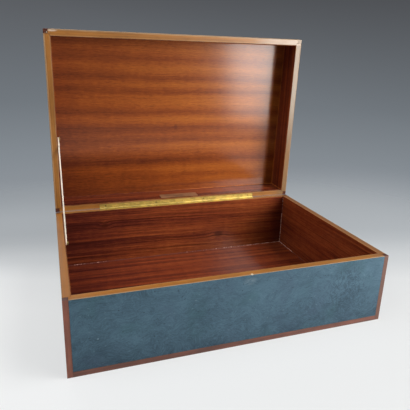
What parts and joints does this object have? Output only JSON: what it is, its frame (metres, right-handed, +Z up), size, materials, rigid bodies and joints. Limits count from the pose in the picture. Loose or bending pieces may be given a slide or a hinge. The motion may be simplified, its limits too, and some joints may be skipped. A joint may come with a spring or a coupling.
{
  "type": "wooden box",
  "caption": "Flat hinged wooden box for papers, blue burl veneer framed in mahogany, striped lining, brass piano hinge and stay cord, lid open.",
  "frame": {"origin": "centre of the box's flat underside, on the surface it stands on", "axes": "+X to the right along the front, +Y to the back where the hinge is, +Z up; rest is the lid open as pictured"},
  "size_m": [0.4, 0.3107, 0.3613],
  "materials": {
    "carcase_wood": "honey-coloured straight-grained wood, satin",
    "striped_lining": "ribbon-striped mahogany veneer, polished",
    "blue_veneer": "burl veneer stained blue, satin lacquer",
    "mahogany_strip": "red-brown mahogany, satin",
    "hinge_brass": "rolled brass, lightly worn",
    "screw_brass": "turned brass",
    "pin_steel": "drawn wire",
    "stay_cotton": "twisted cotton cord",
    "plate_metal": "thin bare plate, dulled grey-brown"
  },
  "bodies": {
    "base": {"base_front_board": "carcase_wood", "base_back_board": "carcase_wood", "base_left_board": "carcase_wood", "base_right_board": "carcase_wood", "base_floor_panel": "carcase_wood", "base_floor_lining": "striped_lining", "base_front_lining": "striped_lining", "base_back_lining": "striped_lining", "base_left_lining": "striped_lining", "base_right_lining": "striped_lining", "base_front_veneer": "blue_veneer", "base_back_veneer": "blue_veneer", "base_left_veneer": "blue_veneer", "base_right_veneer": "blue_veneer", "base_front_left_corner_strip": "mahogany_strip", "base_front_right_corner_strip": "mahogany_strip", "base_back_left_corner_strip": "mahogany_strip", "base_back_right_corner_strip": "mahogany_strip", "base_front_edge_strip": "mahogany_strip", "base_back_edge_strip": "mahogany_strip", "base_left_edge_strip": "mahogany_strip", "base_right_edge_strip": "mahogany_strip", "hinge_base_leaf": "hinge_brass", "hinge_pin": "pin_steel", "hinge_base_screw_1": "screw_brass", "hinge_base_screw_2": "screw_brass", "hinge_base_screw_3": "screw_brass", "hinge_base_screw_4": "screw_brass", "stay_screw_base": "screw_brass", "stay_cord": "stay_cotton"},
    "lid": {"lid_front_rail": "carcase_wood", "lid_back_rail": "carcase_wood", "lid_left_rail": "carcase_wood", "lid_right_rail": "carcase_wood", "lid_top_panel": "carcase_wood", "lid_top_lining": "striped_lining", "lid_front_lining": "striped_lining", "lid_back_lining": "striped_lining", "lid_left_lining": "striped_lining", "lid_right_lining": "striped_lining", "lid_front_veneer": "blue_veneer", "lid_back_veneer": "blue_veneer", "lid_left_veneer": "blue_veneer", "lid_right_veneer": "blue_veneer", "lid_top_veneer": "blue_veneer", "lid_front_left_corner_strip": "mahogany_strip", "lid_front_right_corner_strip": "mahogany_strip", "lid_back_left_corner_strip": "mahogany_strip", "lid_back_right_corner_strip": "mahogany_strip", "lid_front_edge_strip": "mahogany_strip", "lid_back_edge_strip": "mahogany_strip", "lid_left_edge_strip": "mahogany_strip", "lid_right_edge_strip": "mahogany_strip", "hinge_lid_leaf": "hinge_brass", "hinge_lid_screw_1": "screw_brass", "hinge_lid_screw_2": "screw_brass", "hinge_lid_screw_3": "screw_brass", "hinge_lid_screw_4": "screw_brass", "stay_screw_lid": "screw_brass", "lid_blank_plate": "plate_metal"}
  },
  "joints": [
    {"name": "lid_hinge", "type": "hinge", "parent": "base", "child": "lid", "pos_m": [0, 0.13335, 0.09325], "axis": [1, 0, 0], "range_deg": [0, 88.2], "deforming": ["stay_cord"]}
  ]
}
